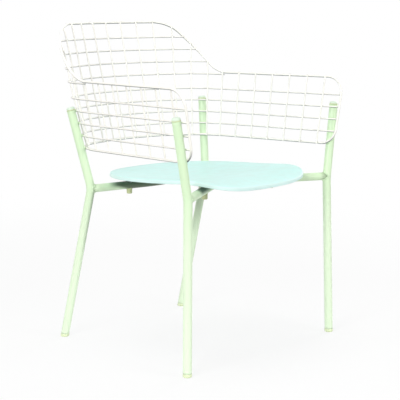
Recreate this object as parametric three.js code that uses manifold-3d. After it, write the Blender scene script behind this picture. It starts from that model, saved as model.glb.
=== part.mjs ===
// A patio armchair: four bent tube legs that run on as arm posts, two bowed rails between them, a pressed
// seat pan on four stand-offs, and a back with arms formed in one piece from welded wire.
// Millimetres, +Z up. The sitter faces -Y, and +X is the sitter's left.
import * as THREE from "three";
import { mergeVertices } from "three/addons/utils/BufferGeometryUtils.js";
import Module from "manifold-3d";

const wasm = await Module();
wasm.setup();
const { degToRad, clamp } = THREE.MathUtils;

// Clearances and smoothness
const gap = 0.3;
const turnStep = degToRad(12);
const sagTolerance = 0.8;
const flatShare = 1 / 1000;
const weldTolerance = 1e-4;
const shortStep = 0.05;
const shortWireShare = 0.01;

// Leg tubes. Depths count back from the front ends of the arms. A post leans on the shell at shares of the
// way from the middle of the back to the front of the rim, and its knee lies a little off the rail's height.
// A rail bows inwards from two knees, with its studs at a share of the seat's half width.
const legRadius = 10.5;
const tubeWall = 1.5;
const kneeBend = 60;
const railRadius = 10;
const rearLegs = {
  foot: { x: 220.2, y: 499.9 },
  kneeRise: 1,
  postRise: 0.9,
  lowShare: 0.4086,
  highShare: 0.3993,
  rail: { belowSeat: 40.8, slope: -0.2, bowRadius: 300, studShare: 0.4936 },
};
const frontLegs = {
  foot: { x: 272.2, y: 20.8 },
  kneeRise: -4.5,
  postRise: 3.9,
  lowShare: 0.972,
  highShare: 0.967,
  rail: { belowSeat: 23.9, slope: 0.53, bowRadius: 120, studShare: 0.6085 },
};

// Seat pan
const seat = {
  halfWidth: 204.6,
  halfDepth: 227.4,
  frontOfStuds: 9.2,
  frontSquareness: 4.27,
  rearSquareness: 2.27,
  topHeight: 434.4,
  tiltSlope: -0.0378,
  dish: 11,
  frontDrop: 22.3,
  sheet: 2,
  edgeRadius: 5,
  flange: 9.9,
};
const seatRingShares = [0.3, 0.52, 0.7, 0.84, 0.94];
const seatSides = 48;

// Wire grid: wires are counted from the middle of the back, half of them to each side
const wireRadius = 2;
const rimRadius = 3;
const sideWires = 13;
const backWires = 3;
const cornerWires = 4;
const lowCurve = { backY: 493.6, backRadius: 433, backAngle: 17, cornerRadius: 148, taperAngle: 4.83 };
const lowPitch = { back: 44.03, corner: 38.9, side: 51.23 };
const armCurve = { backY: 532.1, backRadius: 402, backAngle: 31.4, cornerRadius: 84, taperAngle: 6.2 };
const armPitch = { back: 47.43, corner: 48, side: 53.4 };
const shellAboveSeat = 60.3;
const armRise = 167.5;
const backRise = 134.4;
const sideRows = 4;
const sideRowPitch = 30.8;
const backRows = 4;
const backRowPitch = 33.03;
const lowBackRowDrop = 5.2;
const rowOverrunShare = 0.06;
const rowEndShare = 0.08;

// Rim outline, with lengths along it at arm height
const shoulderTop = 182.5;
const shoulderSlope = 1.04;
const shoulderRadius = 96;
const elbowRadius = 79;
const frontEndShare = 0.95;
const frontTopRadius = 45;
const frontLowRadius = 38;
const wireTrim = 1.5;

// Post caps
const capOverhang = 0.5;
const capHeight = 8;
const capLip = { overhang: 1.25, height: 1.2 };
const capEdge = 2;
const plugDepth = 16;

// Glides
const glideHeight = 8.5;
const glideOverhang = 0.5;
const glidePlugTop = 26;

// Stand-offs, studs and bumpers
const bushRadius = 8;
const studRadius = 3;
const studReach = 8;
const bumperRadius = 7;
const bumperDrop = 12.3;
const bumperEdge = 2.5;

// Facets round each section
const tubeSides = 16;
const wireSides = 8;
const turnedSides = 16;

// Heights and wire numbers that follow from the sizes above
const lowHeight = seat.topHeight + shellAboveSeat;
const armHeight = lowHeight + armRise;
const backHeight = armHeight + backRise;
const lastCornerWire = backWires + cornerWires;
const frontEndWire = sideWires + frontEndShare;

const mint = { color: 0x9fe08f, roughness: 0.42, metalness: 0.1 };
const aqua = { color: 0x9be8d6, roughness: 0.4, metalness: 0.1 };
const cream = { color: 0xf1efd9, roughness: 0.45, metalness: 0.1 };
const tan = { color: 0x8a8455, roughness: 0.8, metalness: 0 };
const zinc = { color: 0xb8bcc0, roughness: 0.35, metalness: 0.9 };

// Solids

// A geometry as a solid that can be cut and joined
function toSolid(geometry) {
  const bare = geometry.index ? geometry.toNonIndexed() : geometry.clone();
  bare.deleteAttribute("normal");
  bare.deleteAttribute("uv");
  const merged = mergeVertices(bare, weldTolerance);
  return new wasm.Manifold(
    new wasm.Mesh({
      numProp: 3,
      vertProperties: new Float32Array(merged.attributes.position.array),
      triVerts: new Uint32Array(merged.index.array),
    }),
  );
}

function toGeometry(solid) {
  const mesh = solid.getMesh();
  const positions = new Float32Array(mesh.numVert * mesh.numProp);
  positions.set(mesh.vertProperties);
  const geometry = new THREE.BufferGeometry();
  geometry.setAttribute("position", new THREE.BufferAttribute(positions, mesh.numProp));
  geometry.setIndex(new THREE.BufferAttribute(new Uint32Array(mesh.triVerts), 1));
  const faceted = geometry.toNonIndexed();
  faceted.computeVertexNormals();
  return faceted;
}

function cutAway(geometry, cutters) {
  const solid = cutters.reduce((left, cutter) => left.subtract(toSolid(cutter)), toSolid(geometry));
  return toGeometry(solid);
}

// Of a solid cut in pieces, the one that reaches highest (sense 1) or lowest (sense -1)
function endBody(solid, sense) {
  const end = (body) => (sense > 0 ? body.boundingBox().max[2] : -body.boundingBox().min[2]);
  return solid.decompose().sort((first, second) => end(second) - end(first))[0];
}

// Paths and sweeps

// A curve that is sampled only at its own stations
class StationPath extends THREE.Curve {
  constructor(stations) {
    super();
    this.stations = stations;
  }
  stationAt(share) {
    return this.stations[Math.round(share * (this.stations.length - 1))];
  }
  getPoint(share, target = new THREE.Vector3()) {
    return target.copy(this.stationAt(share).point);
  }
  getTangent(share, target = new THREE.Vector3()) {
    return target.copy(this.stationAt(share).tangent);
  }
  getUtoTmapping(share) {
    return share;
  }
}

function ringPoints(radius, sides) {
  return Array.from({ length: sides }, (_, side) => {
    const angle = (2 * Math.PI * (side + 0.5)) / sides;
    return new THREE.Vector2(radius * Math.cos(angle), radius * Math.sin(angle));
  });
}

// A round bar or, with a bore, a tube along the stations
function sweep(stations, radius, sides, bore = 0) {
  const section = new THREE.Shape(ringPoints(radius, sides));
  if (bore) section.holes.push(new THREE.Path(ringPoints(bore, sides)));
  return new THREE.ExtrudeGeometry(section, {
    steps: stations.length - 1,
    curveSegments: 1,
    bevelEnabled: false,
    extrudePath: new StationPath(stations),
  });
}

function unit(from, to) {
  return to.clone().sub(from).normalize();
}

// Stations of a path with straight runs and round bends; each corner has its own bend radius
function bentStations(corners, bendRadii) {
  const first = unit(corners[0], corners[1]);
  const stations = [{ point: corners[0], tangent: first }];
  bendRadii.forEach((radius, bend) => {
    const corner = corners[bend + 1];
    const before = unit(corners[bend], corner);
    const after = unit(corner, corners[bend + 2]);
    const turn = before.angleTo(after);
    const inward = after.clone().addScaledVector(before, -before.dot(after)).normalize();
    const start = corner.clone().addScaledVector(before, -radius * Math.tan(turn / 2));
    const steps = Math.ceil(turn / turnStep);
    for (let step = 0; step <= steps; step += 1) {
      const angle = (turn * step) / steps;
      const point = start
        .clone()
        .addScaledVector(inward, radius * (1 - Math.cos(angle)))
        .addScaledVector(before, radius * Math.sin(angle));
      const tangent = before
        .clone()
        .multiplyScalar(Math.cos(angle))
        .addScaledVector(inward, Math.sin(angle));
      stations.push({ point, tangent });
    }
  });
  const last = corners[corners.length - 1];
  stations.push({ point: last, tangent: unit(corners[corners.length - 2], last) });
  return stations;
}

function straightStations(from, to) {
  const tangent = unit(from, to);
  return [
    { point: from, tangent },
    { point: to, tangent },
  ];
}

// A turned piece: profile of [radius, distance along the axis], standing on base and pointing along axis
function turned(profile, base, axis) {
  const outline = profile.map(([radius, along]) => new THREE.Vector2(radius, along));
  const up = new THREE.Vector3(0, 1, 0);
  return new THREE.LatheGeometry(outline, turnedSides)
    .applyQuaternion(new THREE.Quaternion().setFromUnitVectors(up, axis))
    .translate(base.x, base.y, base.z);
}

// Profile of a quarter round edge that ends a body of the given radius
function roundedEnd(radius, edge, endAlong, steps) {
  const sense = Math.sign(endAlong);
  return Array.from({ length: steps + 1 }, (_, step) => {
    const angle = (Math.PI / 2) * (step / steps);
    return [
      radius - edge * (1 - Math.cos(angle)),
      endAlong - sense * edge * (1 - Math.sin(angle)),
    ];
  });
}

// Shell surface

// Length along a plan curve at a wire number
function wireArc(wire, pitch) {
  const count = Math.abs(wire);
  const backCount = Math.min(count, backWires);
  const cornerCount = clamp(count - backWires, 0, cornerWires);
  const sideCount = Math.max(count - lastCornerWire, 0);
  const arc = backCount * pitch.back + cornerCount * pitch.corner + sideCount * pitch.side;
  return Math.sign(wire) * arc;
}

// Wire number at a length along the curve at arm height
function wireAt(arc) {
  const backArc = wireArc(backWires, armPitch);
  const cornerArc = wireArc(lastCornerWire, armPitch);
  if (arc < backArc) return arc / armPitch.back;
  if (arc < cornerArc) return backWires + (arc - backArc) / armPitch.corner;
  return lastCornerWire + (arc - cornerArc) / armPitch.side;
}

// Point on a plan curve: a back arc, a corner arc, then a straight side that tapers
function planPoint(curve, arc) {
  const backAngle = degToRad(curve.backAngle);
  const sideAngle = Math.PI / 2 - degToRad(curve.taperAngle);
  const length = Math.abs(arc);
  const backLength = curve.backRadius * backAngle;
  const cornerLength = curve.cornerRadius * (sideAngle - backAngle);
  const inBack = Math.min(length, backLength) / curve.backRadius;
  const inCorner = clamp(length - backLength, 0, cornerLength) / curve.cornerRadius;
  const inSide = Math.max(length - backLength - cornerLength, 0);
  const cornerTurn = backAngle + inCorner;
  let x = curve.backRadius * Math.sin(inBack);
  let y = curve.backY - curve.backRadius * (1 - Math.cos(inBack));
  if (inCorner > 0) {
    x += curve.cornerRadius * (Math.sin(cornerTurn) - Math.sin(backAngle));
    y -= curve.cornerRadius * (Math.cos(backAngle) - Math.cos(cornerTurn));
  }
  x += inSide * Math.cos(sideAngle);
  y -= inSide * Math.sin(sideAngle);
  return new THREE.Vector2(arc < 0 ? -x : x, y);
}

function surfacePoint(wire, height) {
  const low = planPoint(lowCurve, wireArc(wire, lowPitch));
  const high = planPoint(armCurve, wireArc(wire, armPitch));
  const plan = low.lerp(high, (height - lowHeight) / (armHeight - lowHeight));
  return new THREE.Vector3(plan.x, plan.y, height);
}

// A point of the grid's surface, moved outwards at its own height by a thickness square to the surface
function shellPoint(wire, height, outward = 0) {
  const point = surfacePoint(wire, height);
  if (!outward) return point;
  const along = unit(
    surfacePoint(wire - shortWireShare, height),
    surfacePoint(wire + shortWireShare, height),
  );
  const rise = unit(surfacePoint(wire, lowHeight), surfacePoint(wire, armHeight));
  const normal = rise.cross(along).normalize();
  const level = new THREE.Vector3(normal.x, normal.y, 0);
  return point.addScaledVector(level, outward / level.lengthSq());
}

// Wire numbers at which a bent wire is sampled: every crossing, and as many between as its bend needs
function crossingWires() {
  const wires = [0];
  for (let wire = 1; wire <= sideWires + 1; wire += 1) {
    const before = surfacePoint(wire - 1, armHeight);
    const middle = surfacePoint(wire - 1 / 2, armHeight);
    const after = surfacePoint(wire, armHeight);
    const span = before.distanceTo(after);
    const sag = before.clone().add(after).multiplyScalar(1 / 2).distanceTo(middle);
    const parts = sag > span * flatShare ? Math.ceil(Math.sqrt(sag / sagTolerance)) : 1;
    for (let part = 1; part <= parts; part += 1) wires.push(wire - 1 + part / parts);
  }
  return wires;
}

const gridOffset = 2 * wireRadius + gap;
const rimOffset = wireRadius + rimRadius + gap;
const samples = crossingWires();

// Rim

// Right half of the rim's outline from the middle of the back's top to the middle of its bottom,
// as x along the surface at arm height and z as height
function rimOutline() {
  const elbow = shoulderTop + (backHeight - armHeight) / shoulderSlope;
  const front = wireArc(frontEndWire, armPitch);
  const corners = [
    new THREE.Vector3(0, 0, backHeight),
    new THREE.Vector3(shoulderTop, 0, backHeight),
    new THREE.Vector3(elbow, 0, armHeight),
    new THREE.Vector3(front, 0, armHeight),
    new THREE.Vector3(front, 0, lowHeight),
    new THREE.Vector3(gap / 2, 0, lowHeight),
  ];
  const radii = [shoulderRadius, elbowRadius, frontTopRadius, frontLowRadius];
  return withCrossings(bentStations(corners, radii));
}

// Adds a station wherever a straight run passes a sampled wire
function withCrossings(stations) {
  const arcs = samples.map((wire) => wireArc(wire, armPitch));
  const full = [stations[0]];
  for (let index = 1; index < stations.length; index += 1) {
    const { point: from } = stations[index - 1];
    const { point: to, tangent } = stations[index];
    const straight = stations[index - 1].tangent.angleTo(tangent) < turnStep / 100;
    const between = straight ? arcs.filter((arc) => (arc - from.x) * (to.x - arc) > gap) : [];
    between.sort((first, second) => (first - second) * Math.sign(to.x - from.x));
    for (const arc of between) {
      const point = from.clone().lerp(to, (arc - from.x) / (to.x - from.x));
      full.push({ point, tangent });
    }
    full.push(stations[index]);
  }
  return full;
}

const outline = rimOutline();

// Height of the rim's upper edge at a length along the surface
function rimHeightAt(arc) {
  for (let index = 1; index < outline.length; index += 1) {
    const from = outline[index - 1].point;
    const to = outline[index].point;
    if (to.x >= arc) return from.z + ((to.z - from.z) * (arc - from.x)) / (to.x - from.x);
  }
  return armHeight;
}

// Length along the surface at which the rim passes a height, on the way down its front or its shoulder
function rimArcAt(height) {
  for (let index = outline.length - 1; index > 0; index -= 1) {
    const from = outline[index - 1].point;
    const to = outline[index].point;
    const passes = from.z >= height && to.z < height;
    if (passes) return from.x + ((to.x - from.x) * (from.z - height)) / (from.z - to.z);
  }
  return 0;
}

// Wraps an outline station round the shell
function wrapped(station, side) {
  const onShell = (shift) => {
    const flat = station.point.clone().addScaledVector(station.tangent, shift);
    return shellPoint(side * wireAt(flat.x), flat.z, rimOffset);
  };
  return { point: onShell(0), tangent: unit(onShell(-shortStep), onShell(shortStep)) };
}

function rimStations() {
  const right = outline.map((station) => wrapped(station, 1));
  const left = outline.slice(1).map((station) => wrapped(station, -1));
  const reversed = right.reverse().map(({ point, tangent }) => ({
    point,
    tangent: tangent.negate(),
  }));
  return [...reversed, ...left];
}

const rimPath = rimStations();

function rim() {
  return sweep(rimPath, rimRadius, wireSides);
}

const rimClearance = toSolid(sweep(rimPath, rimRadius + gap, wireSides));

// Grid wires

// Upright wire: it passes over the inner side of the rim at both ends
function uprightWire(wire) {
  const low = shellPoint(wire, lowHeight - wireTrim);
  const high = shellPoint(wire, rimHeightAt(wireArc(Math.abs(wire), armPitch)) + wireTrim);
  return sweep(straightStations(low, high), wireRadius, wireSides);
}

// Level wire round the outside of the upright wires, as far as the given wire number on each side
function levelWire(height, endWire) {
  const half = [...samples.filter((wire) => wire < endWire - rowEndShare), endWire];
  const wires = [...half.slice(1).map((wire) => -wire).reverse(), ...half];
  const stations = wires.map((wire) => ({
    point: shellPoint(wire, height, gridOffset),
    tangent: unit(
      shellPoint(wire - shortWireShare, height, gridOffset),
      shellPoint(wire + shortWireShare, height, gridOffset),
    ),
  }));
  return sweep(stations, wireRadius, wireSides);
}

// A level wire whose ends are fitted to the rim
function fittedLevelWire(height) {
  const wire = toSolid(levelWire(height, wireAt(rimArcAt(height))));
  return toGeometry(wire.subtract(rimClearance));
}

// Legs

// Corners of a leg's centre line: foot, knee, and a post that lies against the shell
function legCorners(leg, side) {
  const rowHeight = lowHeight + (sideRows - 1) * sideRowPitch;
  const rimGap = rimOffset + rimRadius + gap + legRadius;
  const rowGap = gridOffset + wireRadius + gap + legRadius;
  const low = shellPoint(leg.lowShare * frontEndWire, lowHeight, rimGap);
  const high = shellPoint(leg.highShare * frontEndWire, rowHeight, rowGap);
  const rise = high.clone().sub(low);
  const onPost = (height) => low.clone().addScaledVector(rise, (height - low.z) / rise.z);
  const knee = onPost(railHeight(leg.rail) + leg.kneeRise);
  const floor = new THREE.Vector3(leg.foot.x, leg.foot.y, 0);
  const top = onPost(rowHeight + leg.postRise);
  return [floor, knee, top].map((corner) => new THREE.Vector3(side * corner.x, corner.y, corner.z));
}

function legStations(leg, side) {
  const [floor, knee, top] = legCorners(leg, side);
  const below = floor.clone().addScaledVector(unit(floor, knee), -glideHeight);
  return bentStations([below, knee, top], [kneeBend]);
}

function slab(bottom, top) {
  const width = 8 * legRadius;
  const height = top - bottom;
  return new THREE.BoxGeometry(width, width, height).translate(0, 0, bottom + height / 2);
}

// Leg tube, cut level where it stands on its glide
function legTube(leg, side) {
  const [floor] = legCorners(leg, side);
  const below = slab(-4 * glideHeight, glideHeight).translate(floor.x, floor.y, 0);
  const tube = sweep(legStations(leg, side), legRadius, tubeSides, legRadius - tubeWall);
  return cutAway(tube, [below]);
}

// Floor glide with a plug up the leg
function legGlide(leg, side) {
  const [floor, knee] = legCorners(leg, side);
  const axis = unit(floor, knee);
  const at = (height) => floor.clone().addScaledVector(axis, height / axis.z);
  const footRadius = legRadius + glideOverhang;
  const plugRadius = legRadius - tubeWall - gap;
  const foot = sweep(straightStations(at(-glideHeight), at(2 * glideHeight)), footRadius, tubeSides);
  const plug = sweep(straightStations(at(glideHeight / 2), at(glidePlugTop)), plugRadius, tubeSides);
  const layer = slab(0, glideHeight - gap).translate(floor.x, floor.y, 0);
  return toGeometry(toSolid(foot).intersect(toSolid(layer)).add(toSolid(plug)));
}

// Cap that closes the top of a post
function postCap(leg, side) {
  const [, knee, top] = legCorners(leg, side);
  const plugRadius = legRadius - tubeWall - gap;
  const lipRadius = legRadius + capLip.overhang;
  const capRadius = legRadius + capOverhang;
  const profile = [
    [0, -plugDepth],
    [plugRadius, -plugDepth],
    [plugRadius, gap],
    [lipRadius, gap],
    [lipRadius, gap + capLip.height],
    [capRadius, gap + capLip.height],
    ...roundedEnd(capRadius, capEdge, gap + capHeight, 3),
    [0, gap + capHeight],
  ];
  return turned(profile, top, unit(knee, top));
}

// Rails

function railHeight(rail) {
  return seat.topHeight - rail.belowSeat;
}

// Corners of a rail's centre line: it leaves both knees inwards and bends at the middle
function railCorners(leg) {
  const [, knee] = legCorners(leg, 1);
  const height = railHeight(leg.rail);
  const end = new THREE.Vector3(knee.x, knee.y, height);
  const middle = new THREE.Vector3(0, knee.y + leg.rail.slope * knee.x, height);
  return [new THREE.Vector3(-end.x, end.y, end.z), middle, end];
}

function studPoint(leg, side) {
  const [, middle, end] = railCorners(leg);
  const point = middle.clone().lerp(end, (leg.rail.studShare * seat.halfWidth) / end.x);
  return new THREE.Vector3(side * point.x, point.y, point.z);
}

function railSweep(leg, radius, bore) {
  return sweep(bentStations(railCorners(leg), [leg.rail.bowRadius]), radius, tubeSides, bore);
}

// Rail tube, with its ends fitted to the legs and a hole for each stud
function bowedRail(leg) {
  const tube = railSweep(leg, railRadius, railRadius - tubeWall);
  const legCutters = [-1, 1].map((side) => sweep(legStations(leg, side), legRadius + gap, tubeSides));
  const holeCutters = [-1, 1].map((side) => {
    const centre = studPoint(leg, side);
    return uprightBar(centre, -2 * railRadius, 2 * railRadius, studRadius + gap);
  });
  return cutAway(tube, [...legCutters, ...holeCutters]);
}

function uprightBar(centre, fromBelow, toAbove, radius) {
  const low = new THREE.Vector3(centre.x, centre.y, centre.z + fromBelow);
  const high = new THREE.Vector3(centre.x, centre.y, centre.z + toAbove);
  return sweep(straightStations(low, high), radius, turnedSides);
}

// Stand-off with its stud: the bush carries the seat, and the stud goes down through the rail
function seatStud(leg, side) {
  const centre = studPoint(leg, side);
  const seatRise = seatSurface(centre.x, centre.y) - seat.sheet / 2 - centre.z;
  const bush = uprightBar(centre, 0, seatRise, bushRadius);
  const shank = uprightBar(centre, -railRadius - studReach, seatRise / 2, studRadius);
  const seatCutter = seatPan().translate(0, 0, -gap);
  const aboveRail = toSolid(bush).subtract(toSolid(railSweep(leg, railRadius + gap, 0)));
  const fitted = endBody(aboveRail, 1).add(toSolid(shank)).subtract(toSolid(seatCutter));
  return toGeometry(endBody(fitted, -1));
}

// Bumper pushed onto the stud's lower end, under the rail
function railBumper(leg, side) {
  const centre = studPoint(leg, side);
  const tip = -railRadius - bumperDrop;
  const profile = [
    [0, 0],
    [bumperRadius, 0],
    ...roundedEnd(bumperRadius, bumperEdge, tip, 3),
    [0, tip],
  ].reverse();
  const body = turned(profile, centre, new THREE.Vector3(0, 0, 1));
  const bore = uprightBar(centre, -railRadius - studReach - gap, railRadius, studRadius + gap);
  return cutAway(body, [railSweep(leg, railRadius + gap, 0), bore]);
}

// Seat pan: its middle lies a little in front of the middle between the studs

const studMiddle = (studPoint(frontLegs, 1).y + studPoint(rearLegs, 1).y) / 2;
const seatCentre = studMiddle - seat.frontOfStuds;

function seatReach(angle) {
  const squareness = Math.sin(angle) < 0 ? seat.frontSquareness : seat.rearSquareness;
  const across = Math.abs(Math.cos(angle) / seat.halfWidth) ** squareness;
  const along = Math.abs(Math.sin(angle) / seat.halfDepth) ** squareness;
  return 1 / (across + along) ** (1 / squareness);
}

function seatOutline(angle) {
  const reach = seatReach(angle);
  return new THREE.Vector2(reach * Math.cos(angle), reach * Math.sin(angle));
}

// Height of the pan's upper face: tilted back, dished, and falling away at the front
function seatSurface(x, y) {
  const back = y - seatCentre;
  const dishShare = 1 - (x / seat.halfWidth) ** 2 - (back / seat.halfDepth) ** 2;
  const frontShare = clamp(2 * (-back / seat.halfDepth - 1 / 2), 0, 1);
  const dip = seat.dish * dishShare + seat.frontDrop * frontShare ** 2;
  return seat.topHeight + seat.tiltSlope * back - dip;
}

// One ring of the pan: a share of the outline drawn in by an inset, at a drop below the upper face
function seatRing({ share, inset, drop }) {
  return Array.from({ length: seatSides }, (_, side) => {
    const angle = (2 * Math.PI * side) / seatSides;
    const halfStep = Math.PI / seatSides;
    const edge = seatOutline(angle + halfStep).sub(seatOutline(angle - halfStep)).normalize();
    const inward = new THREE.Vector2(-edge.y, edge.x);
    const plan = seatOutline(angle).addScaledVector(inward, inset).multiplyScalar(share);
    const x = plan.x;
    const y = plan.y + seatCentre;
    return new THREE.Vector3(x, y, seatSurface(x, y) - drop);
  });
}

// The pan's section from the middle of its upper face round its turned-down edge to its underside
function seatSection() {
  const bendSteps = 3;
  const round = (radius, step) => {
    const angle = (Math.PI / 2) * (step / bendSteps);
    return {
      share: 1,
      inset: seat.edgeRadius - radius * Math.sin(angle),
      drop: seat.edgeRadius - radius * Math.cos(angle),
    };
  };
  const steps = Array.from({ length: bendSteps + 1 }, (_, step) => step);
  const face = (drop) => seatRingShares.map((share) => ({ share, inset: seat.edgeRadius, drop }));
  const outer = steps.map((step) => round(seat.edgeRadius, step));
  const inner = steps.map((step) => round(seat.edgeRadius - seat.sheet, step));
  return [
    ...face(0),
    ...outer,
    { share: 1, inset: 0, drop: seat.flange },
    { share: 1, inset: seat.sheet, drop: seat.flange },
    ...inner.reverse(),
    ...face(seat.sheet).reverse(),
  ];
}

function seatPan() {
  const middleTop = new THREE.Vector3(0, seatCentre, seatSurface(0, seatCentre));
  const middleUnder = middleTop.clone().setZ(middleTop.z - seat.sheet);
  return ringSkin(middleTop, seatSection().map(seatRing), middleUnder);
}

// A closed skin over rings of equal count, with a single point at each end
function ringSkin(start, rings, end) {
  const count = rings[0].length;
  const positions = [start, ...rings.flat(), end].flatMap((point) => point.toArray());
  const indices = [];
  const vertex = (ring, side) => 1 + ring * count + (side % count);
  for (let side = 0; side < count; side += 1) {
    indices.push(0, vertex(0, side), vertex(0, side + 1));
    for (let ring = 1; ring < rings.length; ring += 1) {
      const innerPair = [vertex(ring - 1, side), vertex(ring - 1, side + 1)];
      const outerPair = [vertex(ring, side), vertex(ring, side + 1)];
      indices.push(innerPair[0], outerPair[0], outerPair[1]);
      indices.push(innerPair[0], outerPair[1], innerPair[1]);
    }
    const lastRing = rings.length - 1;
    indices.push(vertex(lastRing, side + 1), vertex(lastRing, side), 1 + rings.length * count);
  }
  const geometry = new THREE.BufferGeometry();
  geometry.setAttribute("position", new THREE.Float32BufferAttribute(positions, 3));
  geometry.setIndex(indices);
  geometry.computeVertexNormals();
  return geometry;
}

// Assembly

const chair = new THREE.Group();

function place(name, geometry, finish) {
  const mesh = new THREE.Mesh(geometry, new THREE.MeshStandardMaterial(finish));
  mesh.name = name;
  chair.add(mesh);
}

const corners = [
  { end: "front", leg: frontLegs },
  { end: "rear", leg: rearLegs },
];
const sides = [
  { hand: "left", side: 1 },
  { hand: "right", side: -1 },
];

for (const { end, leg } of corners) {
  place(`rail_${end}`, bowedRail(leg), mint);
  for (const { hand, side } of sides) {
    place(`leg_${end}_${hand}`, legTube(leg, side), mint);
    place(`post_cap_${end}_${hand}`, postCap(leg, side), mint);
    place(`glide_${end}_${hand}`, legGlide(leg, side), mint);
    place(`seat_stud_${end}_${hand}`, seatStud(leg, side), zinc);
    place(`bumper_${end}_${hand}`, railBumper(leg, side), tan);
  }
}

place("seat_pan", seatPan(), aqua);
place("shell_rim", rim(), cream);

for (let row = 1; row <= sideRows; row += 1) {
  place(`side_row_${row}`, fittedLevelWire(lowHeight + row * sideRowPitch), cream);
}

// The lowest back row ends just past the corner wires, under the arms, and the others run to the rim
for (let row = 1; row <= backRows; row += 1) {
  const height = armHeight - lowBackRowDrop + (row - 1) * backRowPitch;
  const wire = row > 1 ? fittedLevelWire(height) : levelWire(height, lastCornerWire + rowOverrunShare);
  place(`back_row_${row}`, wire, cream);
}

place("upright_centre", uprightWire(0), cream);
for (const { hand, side } of sides) {
  for (let wire = 1; wire <= sideWires; wire += 1) {
    place(`upright_${hand}_${wire}`, uprightWire(side * wire), cream);
  }
}

// The origin is under the middle of the chair, on the floor
const bounds = new THREE.Box3().setFromObject(chair, true);
chair.position.y = -(bounds.min.y + bounds.max.y) / 2;

export default chair;
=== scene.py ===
import math

import bpy
import numpy as np
from mathutils import Matrix, Vector


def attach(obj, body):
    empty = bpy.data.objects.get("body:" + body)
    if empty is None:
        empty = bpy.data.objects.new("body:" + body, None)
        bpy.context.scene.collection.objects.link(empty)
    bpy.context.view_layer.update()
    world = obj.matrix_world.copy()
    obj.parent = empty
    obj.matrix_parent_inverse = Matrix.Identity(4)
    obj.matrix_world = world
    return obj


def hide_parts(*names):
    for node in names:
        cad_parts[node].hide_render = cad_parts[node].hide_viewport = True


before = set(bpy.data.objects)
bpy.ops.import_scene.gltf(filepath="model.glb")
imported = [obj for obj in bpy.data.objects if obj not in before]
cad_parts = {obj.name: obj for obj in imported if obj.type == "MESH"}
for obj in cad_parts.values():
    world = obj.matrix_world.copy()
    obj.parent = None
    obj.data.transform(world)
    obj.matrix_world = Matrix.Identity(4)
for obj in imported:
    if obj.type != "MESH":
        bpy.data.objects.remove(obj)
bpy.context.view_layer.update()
print("frame loaded:", len(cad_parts), "nodes")

depthShift = -0.286739  # depths below count back from the arms' front ends, and the origin lies mid-chair


# the camera stands where the photograph was taken from
cameraSettings = {
    "place": (-2.3285, -1.8824, 0.8609),
    "yaw": 47.82,
    "pitch": 9.09,
    "roll": -0.08,
    "focalPixels": 1262.3,
    "frameWidth": 400,
    "sensor": 36,
}


def addCamera(s):
    yaw, pitch, roll = (math.radians(s[k]) for k in ("yaw", "pitch", "roll"))
    forward = Vector((math.sin(yaw) * math.cos(pitch), math.cos(yaw) * math.cos(pitch), -math.sin(pitch)))
    level = Vector((math.cos(yaw), -math.sin(yaw), 0))
    steep = level.cross(forward)
    right = level * math.cos(roll) + steep * math.sin(roll)
    up = steep * math.cos(roll) - level * math.sin(roll)
    data = bpy.data.cameras.new("chairCamera")
    data.sensor_width = s["sensor"]
    data.lens = s["focalPixels"] / s["frameWidth"] * s["sensor"]
    data.clip_end = 200
    cam = bpy.data.objects.new("chairCamera", data)
    turn = Matrix((right, up, -forward)).transposed().to_4x4()
    cam.matrix_world = Matrix.Translation(Vector(s["place"]) + Vector((0, depthShift, 0))) @ turn
    bpy.context.scene.collection.objects.link(cam)
    bpy.context.scene.camera = cam


addCamera(cameraSettings)


# shader groups that the finishes share
def newGroup(name, inputs, outputs):
    # an input is a colour, a number or, with None, a vector
    group = bpy.data.node_groups.new(name, "ShaderNodeTree")
    for label, value in inputs.items():
        kind = "Color" if isinstance(value, tuple) else "Float" if value is not None else "Vector"
        socket = group.interface.new_socket(name=label, in_out="INPUT", socket_type="NodeSocket" + kind)
        if value is not None:
            socket.default_value = (*value, 1) if isinstance(value, tuple) else value
    for label in outputs:
        kind = "Color" if label == "Colour" else "Float"
        group.interface.new_socket(name=label, in_out="OUTPUT", socket_type="NodeSocket" + kind)
    return group, group.nodes.new("NodeGroupInput"), group.nodes.new("NodeGroupOutput")


def joinNodes(tree, *pairs):
    for source, target in pairs:
        tree.links.new(source, target)


def mathNode(tree, operation, a, b=None, clamp=False):
    node = tree.nodes.new("ShaderNodeMath")
    node.operation = operation
    node.use_clamp = clamp
    for i, value in enumerate((a, b)):
        if value is None:
            continue
        if isinstance(value, (int, float)):
            node.inputs[i].default_value = value
        else:
            tree.links.new(value, node.inputs[i])
    return node.outputs[0]


def rangeNode(tree, value, fromMin, fromMax, toMin=0.0, toMax=1.0):
    node = tree.nodes.new("ShaderNodeMapRange")
    node.interpolation_type = "SMOOTHSTEP"
    tree.links.new(value, node.inputs["Value"])
    for label, number in (("From Min", fromMin), ("From Max", fromMax), ("To Min", toMin), ("To Max", toMax)):
        node.inputs[label].default_value = number
    return node.outputs["Result"]


def noiseNode(tree, vector, scale, detail=2.0, roughness=0.5):
    node = tree.nodes.new("ShaderNodeTexNoise")
    tree.links.new(vector, node.inputs["Vector"])
    if isinstance(scale, (int, float)):
        node.inputs["Scale"].default_value = scale
    else:
        tree.links.new(scale, node.inputs["Scale"])
    node.inputs["Detail"].default_value = detail
    node.inputs["Roughness"].default_value = roughness
    return node.outputs["Fac"]


def mixColour(tree, factor, a, b):
    node = tree.nodes.new("ShaderNodeMix")
    node.data_type = "RGBA"
    for index, value in ((0, factor), (6, a), (7, b)):
        if isinstance(value, tuple):
            node.inputs[index].default_value = (*value, 1)
        else:
            tree.links.new(value, node.inputs[index])
    return node.outputs[2]


def facingZ(tree):
    split = tree.nodes.new("ShaderNodeSeparateXYZ")
    tree.links.new(tree.nodes.new("ShaderNodeNewGeometry").outputs["Normal"], split.inputs[0])
    return split.outputs["Z"]


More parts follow.
